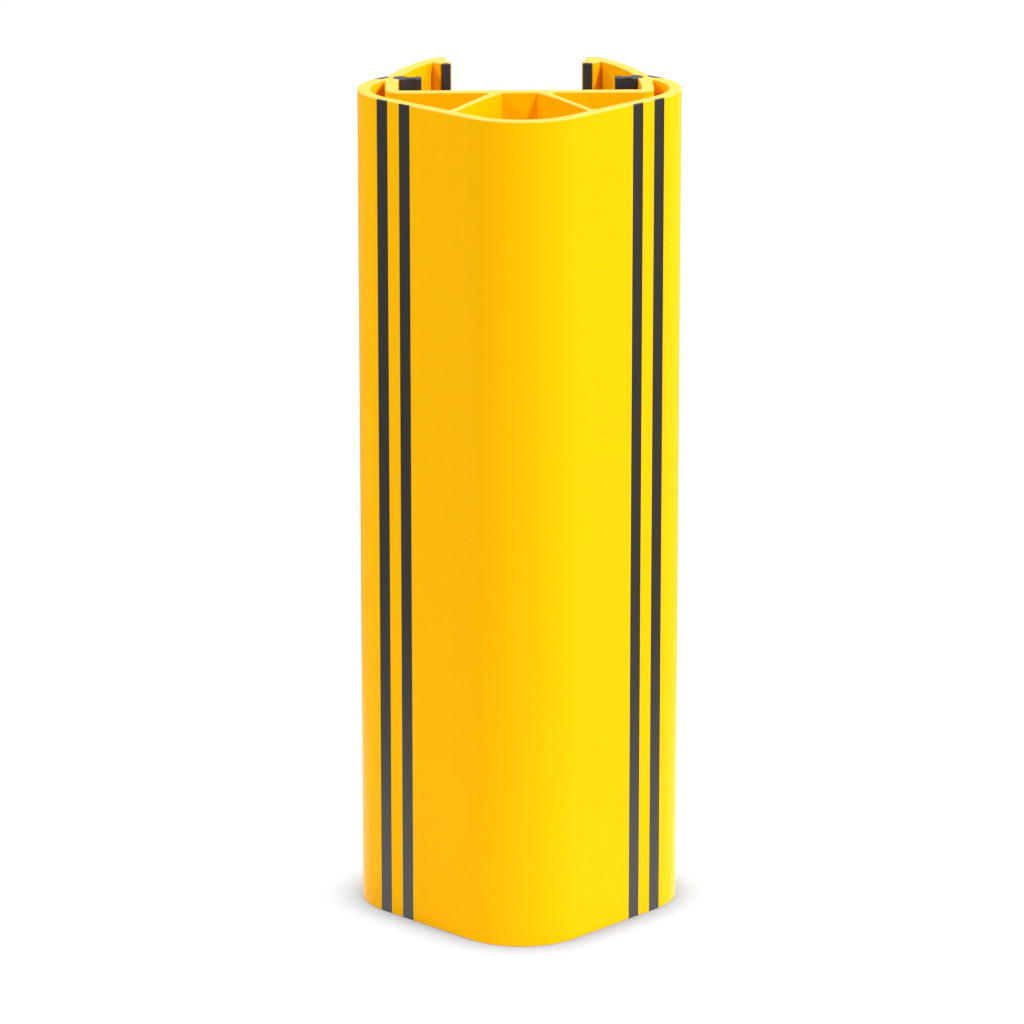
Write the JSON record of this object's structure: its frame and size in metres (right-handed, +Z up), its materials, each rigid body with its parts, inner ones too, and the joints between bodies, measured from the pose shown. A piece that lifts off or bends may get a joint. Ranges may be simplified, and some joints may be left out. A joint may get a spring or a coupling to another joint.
{
  "type": "rack column guard",
  "caption": "Clip-on impact guard for a pallet rack upright: a bowed, chambered polymer extrusion with sprung hooked arms, soft black grips inside and flush black stripes on its flanks.",
  "frame": {"origin": "middle of the bounding box at the foot of the guard, on the floor", "axes": "+Z up along the extrusion, +X to the guard's right seen from its bowed front, +Y to the open rear where the upright enters"},
  "size_m": [0.152, 0.1466, 0.4],
  "materials": {
    "yellow_shell": "satin extruded polymer in safety yellow, paler where it is sawn",
    "soft_black": "matte soft black polymer",
    "stripe_black": "satin black polymer"
  },
  "bodies": {
    "root": {"guard_body": "yellow_shell", "left_corner_grip": "soft_black", "right_corner_grip": "soft_black", "left_tip_grip": "soft_black", "right_tip_grip": "soft_black", "left_flex_strip": "soft_black", "right_flex_strip": "soft_black", "left_outer_stripe": "stripe_black", "left_inner_stripe": "stripe_black", "right_inner_stripe": "stripe_black", "right_outer_stripe": "stripe_black"}
  },
  "joints": []
}
